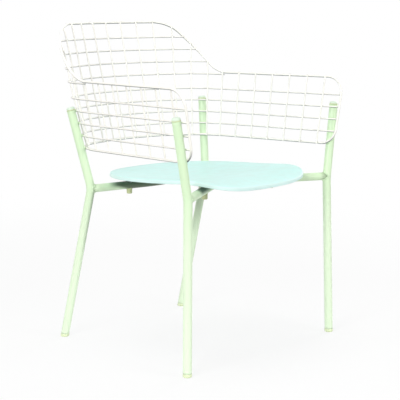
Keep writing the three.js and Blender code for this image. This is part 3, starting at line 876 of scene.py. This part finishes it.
def legTube(end, side, s):
    floor, knee, top = legCorners(end, side)
    along = unitVector(knee - floor)
    start = floor + along * s["footCut"] / along[2]
    path = filletedPath([start, knee, top], [s["bend"]], s["step"])
    outer = sweepRings(path, s["radius"], s["sides"])
    inner = sweepRings(path, s["radius"] - s["wall"], s["sides"])
    along = unitVector(path[1] - path[0])
    for rings in (outer, inner):
        rings[0] += ((s["footCut"] - rings[0][:, 2]) / along[2])[:, None] * along
    verts, faces = tubeMesh(outer, inner)
    marks = [railEnd(end, side) + railInward(end, side) * (railSettings["radius"] + s["kneeMark"])]
    atKnee = seamNear(verts, marks, s["kneeReach"]) * s["kneeSeam"]
    # painted shadow of the seat on the legs
    paintedShade = [s[end]["paintedSeatShade"] * paintedSeatShadeOnLeg(vert, floor, knee, s) for vert in verts]
    place = placeName(end, side)
    seamAndShade = np.maximum(atKnee, paintedShade)
    finishPiece("legTube_" + place, verts, faces, mintCoat, ["leg_" + place], seamAndShade)


for end, side in corners:
    legTube(end, side, legSettings)
print("legs made")


# the rails and their welds
def legLineAt(end, side, height):
    floor, knee, top = legCorners(end, side)
    path = filletedPath([floor, knee, top], [legSettings["bend"]], legSettings["copeStep"])
    near = min(range(1, len(path) - 1), key=lambda i: abs(path[i][2] - height))
    along = unitVector(path[near + 1] - path[near - 1])
    return path[near] + along * (height - path[near][2]) / along[2], along


def copeRing(ring, direction, end, side):
    base, axis = legLineAt(end, side, railSettings[end]["height"])
    radius = legSettings["radius"]
    fitted = []
    for point in ring:
        offset = point - base
        offset = offset - axis * np.dot(offset, axis)
        flat = direction - axis * np.dot(direction, axis)
        a, b, c = np.dot(flat, flat), 2 * np.dot(offset, flat), np.dot(offset, offset) - radius ** 2
        reach = (-b + math.sqrt(max(b * b - 4 * a * c, 0))) / (2 * a)
        fitted.append(point + direction * reach)
    return np.array(fitted)


weldSettings = {"bead": 0.0017, "ripple": 0.16, "ripples": 26, "steps": 120, "sides": 10, "seamAndShade": 0.08}


def weldLoop(loop, s):
    loop, count = resampleLoop(loop, s["steps"]), s["steps"]
    radii = s["bead"] * (1 + s["ripple"] * np.abs(np.sin(np.arange(count) / count * math.pi * s["ripples"])))
    rings = sweepRings(loop, radii, s["sides"], closed=True)
    return rings.reshape(-1, 3), ringFaces(count, s["sides"], closed=True)


def resampleLoop(loop, count):
    loop = np.asarray(loop)
    closed = np.vstack([loop, loop[:1]])
    lengths = np.concatenate([[0], np.cumsum(np.linalg.norm(np.diff(closed, axis=0), axis=1))])
    at = np.linspace(0, lengths[-1], count, endpoint=False)
    return np.array([[np.interp(a, lengths, closed[:, i]) for i in range(3)] for a in at])


def paintedShadeUnderSeat(point, end, s):
    # painted shadow of the seat: the tops of the rails are darker where the seat covers them, and all round deep
    # under it
    back = panBack(point[1])
    share = math.hypot(point[0], back) / panReach(math.atan2(back, point[0]), panSettings)
    cover = clamped((s["coverEdge"] - share) / s["coverFade"])
    deep = s[end]["deep"] * clamped((s["deepEdge"] - share) / s["deepFade"])
    facing = clamped(((point[2] - s[end]["height"]) / s["radius"] - s["facingFrom"] + deep) / s["facingSpan"])
    return s["paintedSeatShade"] * cover * facing


def bowedRail(end, s):
    path = np.array(filletedPath([railEnd(end, -1), railMiddle(end), railEnd(end, 1)], [s[end]["bow"]], s["step"]))
    outer = sweepRings(path, s["radius"], s["sides"])
    inner = sweepRings(path, s["radius"] - legSettings["wall"], s["sides"])
    startDirection = unitVector(path[1] - path[0])
    endDirection = unitVector(path[-2] - path[-1])
    for rings in (outer, inner):
        rings[0] = copeRing(rings[0], startDirection, end, -1)
        rings[-1] = copeRing(rings[-1], endDirection, end, 1)
    last = len(path) - 1
    keep = [i for i in range(last + 1) if i in (0, last) or 3 < i < last - 3]
    outer, inner = outer[keep], inner[keep]
    verts, faces = tubeMesh(outer, inner)
    loops = (outer[0], outer[-1])
    atWelds = seamNear(verts, [*loops[0][::4], *loops[1][::4]], s["weldReach"]) * s["weldSeam"]
    # painted shadow of the seat on the rails
    paintedShade = [paintedShadeUnderSeat(vert, end, s) for vert in verts]
    seamAndShade = np.maximum(atWelds, paintedShade)
    finishPiece("bowedRail_" + end, verts, faces, mintCoat, ["rail_" + end], seamAndShade)
    verts, faces = joinParts([weldLoop(loop, weldSettings) for loop in loops])
    seamAndShade = np.full(len(verts), weldSettings["seamAndShade"])
    finishPiece("railWelds_" + end, verts, faces, mintCoat, seamAndShade=seamAndShade)


for end in ("front", "rear"):
    bowedRail(end, railSettings)
print("rails made")


# welds between the posts and the wires that cross them
postWeldSettings = {
    "length": 0.0042, "thickness": 0.0019, "spread": 0.0014, "offCentre": 0.75, "rings": 6, "sides": 12, "seamAndShade": 0.08,
}


def postWelds(s):
    parts = []
    heights = [shell["lowHeight"], *sideHeights[:3]]
    for end, side in corners:
        leg = legSettings[end]
        for i, height in enumerate(heights):
            wire = side * (leg["lowWire"] + (leg["highWire"] - leg["lowWire"]) * i / 3)
            radius, offset = (shell["wireRadius"], gridOffset) if i else (shell["rimRadius"], rimOffset)
            away = radius * s["offCentre"]
            axes = shellAxes(wire, height)
            for lift in (-1, 1):
                centre = shellPoint(wire, height + lift * away, offset + away)
                radii = (s["length"], s["spread"], s["thickness"])
                parts.append(blobMesh(centre, axes, radii, s["rings"], s["sides"]))
    verts, faces = joinParts(parts)
    finishPiece("postWelds", verts, faces, mintCoat, seamAndShade=np.full(len(verts), s["seamAndShade"]))


postWelds(postWeldSettings)
print("post welds made")


# caps on the posts
capSettings = {
    "plug": 0.0087, "plugDepth": 0.016, "plugChamfer": 0.0015, "lip": 0.0112, "lipHeight": 0.0012, "lipEdge": 0.0003,
    "radius": 0.0104, "height": 0.008, "edge": 0.0034, "edgeSteps": 8, "crown": 0.0003, "gap": 0.0001, "sides": 64,
    "crownProfile": ((0.72, 2 / 3), (0.4, 1), (0.08, 1)), "plugEnd": 0.001, "plugNeck": 0.0005, "lipRound": 0.0004,
    "wallStart": 0.0006, "seamLevel": 1.4,
}


def postCap(end, side, s):
    _, knee, top = legCorners(end, side)
    gap, lip, lipEdge, flat = s["gap"], s["lip"], s["lipEdge"], s["radius"] - s["edge"]
    profile = [
        (s["plugEnd"], -s["plugDepth"]),
        (s["plug"] - s["plugEnd"], -s["plugDepth"]),
        (s["plug"], s["plugChamfer"] - s["plugDepth"]),
        (s["plug"], -s["plugNeck"]),
        (s["plug"], gap),
        (lip - lipEdge, gap),
        (lip, gap + lipEdge),
        (lip, s["lipHeight"] - lipEdge),
        (lip - s["lipRound"], s["lipHeight"]),
        (s["radius"] + gap, s["lipHeight"] + gap),
        (s["radius"], s["lipHeight"] + s["wallStart"]),
    ]
    for angle in np.linspace(0, math.pi / 2, s["edgeSteps"] + 1):
        rounding = s["edge"] * (1 - math.cos(angle)), s["edge"] * (1 - math.sin(angle))
        profile.append((s["radius"] - rounding[0], s["height"] - rounding[1]))
    profile += [(flat * share, s["height"] + s["crown"] * rise) for share, rise in s["crownProfile"]]
    verts, faces = turnedRings(profile, top, top - knee, s["sides"])
    heights = np.repeat([height for _, height in profile], s["sides"])
    seamAndShade = s["seamLevel"] - np.abs(heights - s["lipHeight"] / 2) / s["lipHeight"]
    place = placeName(end, side)
    finishPiece("topCap_" + place, verts, faces, mintPlastic, ["post_cap_" + place], seamAndShade)


for end, side in corners:
    postCap(end, side, capSettings)
print("caps made")


# glides in the feet
glideSettings = {
    "radius": 0.0108, "height": 0.00845, "round": 0.003, "roundSteps": 6, "chamfer": 0.0005,
    "plug": 0.0087, "plugTop": 0.026, "plugChamfer": 0.001, "flatInset": 1.6, "chamferRound": 0.3, "sides": 56,
}


def footGlide(end, side, s):
    floor, knee, _ = legCorners(end, side)
    axis = unitVector(knee - floor)
    r, c = s["round"], s["chamfer"]
    levels = [(s["radius"] - s["flatInset"] * r, 0)]
    for angle in np.linspace(0, math.pi / 2, s["roundSteps"] + 1):
        levels.append((s["radius"] - r * (1 - math.sin(angle)), r * (1 - math.cos(angle))))
    softened = s["chamferRound"] * c
    levels += [
        (s["radius"], s["height"] - c),
        (s["radius"] - softened, s["height"] - softened),
        (s["radius"] - c, s["height"]),
        (s["plug"], s["height"]),
        (s["plug"], s["plugTop"] - s["plugChamfer"]),
        (s["plug"] - s["plugChamfer"], s["plugTop"]),
    ]
    angles = turnSteps(s["sides"])
    across = unitVector(np.cross(axis, (0, 1.0, 0)))
    third = np.cross(axis, across)
    rings = []
    for radius, height in levels:
        ring = floor + radius * (np.cos(angles)[:, None] * across + np.sin(angles)[:, None] * third)
        # each ring lies level, as the foot is cut
        rings.append(ring + axis * ((height - ring[:, 2]) / axis[2])[:, None])
    verts, faces = cappedRings(rings, s["sides"])
    place = placeName(end, side)
    finishPiece("footGlide_" + place, verts, faces, glidePlastic, ["glide_" + place])


for end, side in corners:
    footGlide(end, side, glideSettings)
print("glides made")


# the seat pan
def panRing(share, inset, drop, s):
    points = []
    half = math.pi / s["sides"]
    for j in range(s["sides"]):
        angle = 2 * math.pi * j / s["sides"]
        edge = unitVector(panEdge(angle + half, s) - panEdge(angle - half, s))
        plan = (panEdge(angle, s) + np.array([-edge[1], edge[0]]) * inset) * share
        points.append((plan[0], plan[1] + s["centreY"] + depthShift, panSurface(plan[0], plan[1], s) - drop))
    return points


def seatPan(s):
    section = []
    shares = np.linspace(s["innerRing"], 1, s["faceRings"])[:-1]
    section += [(share, s["edge"], 0) for share in shares]
    steps = np.linspace(0, math.pi / 2, s["bendSteps"] + 1)
    section += [(1, s["edge"] * (1 - math.sin(a)), s["edge"] * (1 - math.cos(a))) for a in steps]
    lip = s["sheet"] / 2
    lipTop = s["flange"] - lip
    lipTurns = np.linspace(s["lipTurn"], math.pi - s["lipTurn"], s["lipSteps"])
    section += [(1, 0, lipTop)]
    section += [(1, lip * (1 - math.cos(a)), lipTop + lip * math.sin(a)) for a in lipTurns]
    section += [(1, s["sheet"], lipTop)]
    inner = s["edge"] - s["sheet"]
    section += [(1, s["edge"] - inner * math.sin(a), s["edge"] - inner * math.cos(a)) for a in steps[::-1]]
    section += [(share, s["edge"], s["sheet"]) for share in shares[::-1]]
    verts, faces = cappedRings([panRing(*entry, s) for entry in section], s["sides"], flip=True)
    finishPiece("seatPan", verts, faces, aquaCoat, ["seat_pan"])


seatPan(panSettings)
print("seat made")


# stand-offs under the seat and bumpers under the rails
studSettings = {
    "bush": 0.008, "chamfer": 0.0006, "stud": 0.003, "studTip": 0.0021, "above": 0.012, "below": 0.018,
    "tipLength": 0.001, "sides": 40,
}
bumperSettings = {
    "radius": 0.007, "drop": 0.0223, "edge": 0.0026, "edgeSteps": 8, "collar": 0.0076, "sides": 40,
    "collarProfile": ((-0.0004, 0), (0, 0.0006), (0, 0.0016)), "neck": 0.0024,
}


def studPlace(end, side):
    middle, left = railMiddle(end), railEnd(end, 1)
    point = middle + (left - middle) * railSettings[end]["stud"] / left[0]
    return point * np.array([side, 1, 1])


def levelRing(centre, radius, sides):
    angles = turnSteps(sides)
    return centre[0] + radius * np.cos(angles), centre[1] + radius * np.sin(angles)


def railSaddle(x, y, centre, direction):
    off = (y - centre[1]) * direction[0] - (x - centre[0]) * direction[1]
    return math.sqrt(max(railSettings["radius"] ** 2 - off ** 2, 0))


def standOff(end, side, s):
    centre, direction = studPlace(end, side), railInward(end, side)
    edge = s["bush"] - s["chamfer"]
    rings = []
    for radius, onRail, chamfer in ((edge, True, -1), (s["bush"], True, 0), (s["bush"], False, -1), (edge, False, 0)):
        ring = []
        for x, y in zip(*levelRing(centre, radius, s["sides"])):
            if onRail:
                height = centre[2] + railSaddle(x, y, centre, direction)
            else:
                height = panSurface(x, panBack(y), panSettings) - panSettings["sheet"]
            ring.append((x, y, height + chamfer * s["chamfer"]))
        rings.append(ring)
    bush = cappedRings(rings, s["sides"])
    shankProfile = [
        (s["studTip"], -s["below"]),
        (s["stud"], s["tipLength"] - s["below"]),
        (s["stud"], 0),
        (s["stud"], s["above"]),
    ]
    shank = turnedRings(shankProfile, centre, (0, 0, 1), s["sides"])
    verts, faces = joinParts([bush, shank])
    place = placeName(end, side)
    finishPiece("standOff_" + place, verts, faces, zincSteel, ["seat_stud_" + place])


def bumper(end, side, s):
    centre, direction = studPlace(end, side), railInward(end, side)
    rings = []
    profile = [(s["collar"] + out, below) for out, below in s["collarProfile"]]
    for radius, below in [*profile, (s["radius"], s["neck"])]:
        around = zip(*levelRing(centre, radius, s["sides"]))
        rings.append([(x, y, centre[2] - railSaddle(x, y, centre, direction) - below) for x, y in around])
    tip = centre[2] - s["drop"]
    for angle in np.linspace(0, math.pi / 2, s["edgeSteps"] + 1):
        around = zip(*levelRing(centre, s["radius"] - s["edge"] * (1 - math.cos(angle)), s["sides"]))
        rings.append([(x, y, tip + s["edge"] * (1 - math.sin(angle))) for x, y in around])
    verts, faces = cappedRings(rings, s["sides"], flip=True)
    place = placeName(end, side)
    finishPiece("bumper_%s_soft" % place, verts, faces, tanRubber, ["bumper_" + place])


for end, side in corners:
    standOff(end, side, studSettings)
    bumper(end, side, bumperSettings)
print("stand-offs and bumpers made")


# floor, background and light
floorSettings = {
    "size": 60, "colour": 0.9, "bounce": 0.3, "sheetRadius": 0.7, "fadeRadius": 1.3,
    "nearShare": 0.8, "nearRadius": 0.4, "farRadius": 2.4,
}


def seenRay(tree):
    path = tree.nodes.new("ShaderNodeLightPath")
    direct = mathNode(tree, "MAXIMUM", path.outputs["Is Camera Ray"], path.outputs["Is Glossy Ray"])
    return mathNode(tree, "MAXIMUM", direct, path.outputs["Is Transmission Ray"])


def studioFloor(s):
    half = s["size"] / 2
    mesh = bpy.data.meshes.new("studioFloor")
    mesh.from_pydata([(-half, -half, 0), (half, -half, 0), (half, half, 0), (-half, half, 0)], [], [(0, 1, 2, 3)])
    obj = bpy.data.objects.new("studioFloor", mesh)
    bpy.context.scene.collection.objects.link(obj)
    mat = bpy.data.materials.new("paleFloor")
    mat.use_nodes = True
    tree = mat.node_tree
    tree.nodes.clear()
    out = tree.nodes.new("ShaderNodeOutputMaterial")
    matt = tree.nodes.new("ShaderNodeBsdfDiffuse")
    glow = tree.nodes.new("ShaderNodeEmission")
    glow.inputs["Strength"].default_value = 1
    place = tree.nodes.new("ShaderNodeTexCoord").outputs["Object"]
    length = tree.nodes.new("ShaderNodeVectorMath")
    length.operation = "LENGTH"
    tree.links.new(place, length.inputs[0])
    share = rangeNode(tree, length.outputs["Value"], s["nearRadius"], s["farRadius"], s["nearShare"], 1.0)
    seen = seenRay(tree)
    # away from the chair the floor throws little light up
    sheet = rangeNode(tree, length.outputs["Value"], s["sheetRadius"], s["fadeRadius"], s["colour"], s["bounce"])
    tone = mixColour(tree, seen, sheet, (s["colour"],) * 3)
    mix = tree.nodes.new("ShaderNodeMixShader")
    joinNodes(
        tree,
        (tone, matt.inputs["Color"]),
        (mathNode(tree, "MULTIPLY", share, seen), mix.inputs[0]),
        (matt.outputs[0], mix.inputs[1]),
        (glow.outputs[0], mix.inputs[2]),
        (mix.outputs[0], out.inputs["Surface"]),
    )
    mesh.materials.append(mat)


studioFloor(floorSettings)

worldSettings = {"light": 0.38, "levelShare": 0.72, "seen": 1.0}


def studioWorld(s):
    world = bpy.data.worlds.new("studioWorld")
    bpy.context.scene.world = world
    world.use_nodes = True
    tree = world.node_tree
    tree.nodes.clear()
    out = tree.nodes.new("ShaderNodeOutputWorld")
    soft = tree.nodes.new("ShaderNodeBackground")
    split = tree.nodes.new("ShaderNodeSeparateXYZ")
    tree.links.new(tree.nodes.new("ShaderNodeTexCoord").outputs["Generated"], split.inputs[0])
    # the light comes from above, and less from the sides
    rise = rangeNode(tree, split.outputs["Z"], 0.0, 0.7, s["light"] * s["levelShare"], s["light"])
    tree.links.new(rise, soft.inputs["Strength"])
    white = tree.nodes.new("ShaderNodeBackground")
    white.inputs["Strength"].default_value = s["seen"]
    for node in (soft, white):
        node.inputs["Color"].default_value = (1, 1, 1, 1)
    seen = seenRay(tree)
    mix = tree.nodes.new("ShaderNodeMixShader")
    joinNodes(
        tree,
        (seen, mix.inputs[0]),
        (soft.outputs[0], mix.inputs[1]),
        (white.outputs[0], mix.inputs[2]),
        (mix.outputs[0], out.inputs["Surface"]),
    )


studioWorld(worldSettings)

lampAim = (0, 0, 0.45)
lampSettings = [
    {"name": "keyPanel", "place": (-3.4, -1.0, 1.6), "size": 1.8, "watts": 82},
    {"name": "frontPanel", "place": (0.6, -3.5, 1.5), "size": 1.8, "watts": 43},
    {"name": "sidePanel", "place": (3.1, 0.0, 1.6), "size": 1.8, "watts": 32},
    {"name": "topPanel", "place": (-0.2, 0.4, 3.2), "size": 1.6, "watts": 28},
]

for s in lampSettings:
    data = bpy.data.lights.new(s["name"], "AREA")
    data.shape = "SQUARE"
    data.size = s["size"]
    data.energy = s["watts"]
    lamp = bpy.data.objects.new(s["name"], data)
    lamp.location = s["place"]
    aim = Vector(lampAim) - Vector(s["place"])
    lamp.rotation_euler = aim.to_track_quat("-Z", "Y").to_euler()
    bpy.context.scene.collection.objects.link(lamp)

bpy.context.scene.view_settings.view_transform = "Standard"
print("studio set")
